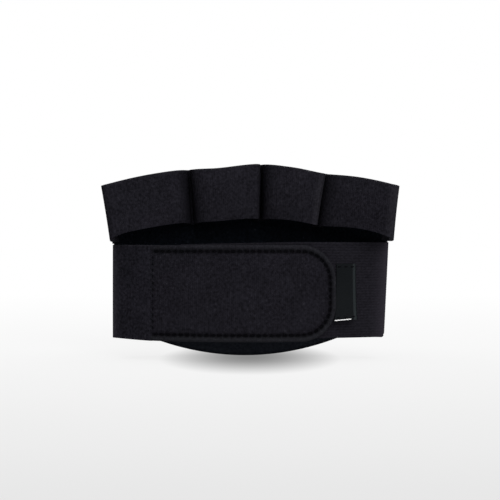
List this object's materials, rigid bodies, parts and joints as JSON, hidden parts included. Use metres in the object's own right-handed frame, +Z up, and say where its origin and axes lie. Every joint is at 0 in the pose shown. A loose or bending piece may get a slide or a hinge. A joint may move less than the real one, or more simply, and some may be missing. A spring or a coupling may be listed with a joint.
{
  "type": "hand grip",
  "caption": "Padded palm grip with sewn finger loops and a hook-and-loop hand strap, worn over the palm to save the skin on bars and weights.",
  "frame": {"origin": "middle of the part's box at its lowest level, under the lip of the palm pad", "axes": "+X to the right with the strap towards the viewer, +Y from the strap to the palm side, +Z up towards the fingers"},
  "size_m": [0.115, 0.0339, 0.077],
  "materials": {
    "grip_skin": "matte, finely dimpled",
    "foam": "matte, cut edge",
    "lining": "smooth jersey",
    "knit": "fine jersey knit",
    "elastic": "ribbed elastic",
    "loop_pile": "brushed loop pile",
    "hook_tape": "hook tape",
    "label": "satin weave, blank",
    "thread": "sewing thread"
  },
  "bodies": {
    "palm": {"palm_face": "grip_skin", "palm_foam": "foam", "palm_lining": "lining", "finger_band": "knit", "finger_stitching": "thread", "side_stitching": "thread", "right_band": "elastic", "loop_patch": "loop_pile", "woven_label": "label", "label_stitching": "thread"},
    "strap": {"left_band": "knit"},
    "tab": {"closure_tab": "knit", "hook_patch": "hook_tape", "tab_stitching": "thread"}
  },
  "joints": [
    {"name": "strap_swing", "type": "hinge", "parent": "palm", "child": "strap", "pos_m": [-0.0546, -0.00155, 0.0269], "axis": [0, 0, -1], "range_deg": [0, 105]},
    {"name": "tab_peel", "type": "hinge", "parent": "strap", "child": "tab", "pos_m": [-0.0392, -0.0091, 0.0269], "axis": [0, 0, -1], "range_deg": [0, 150]}
  ]
}
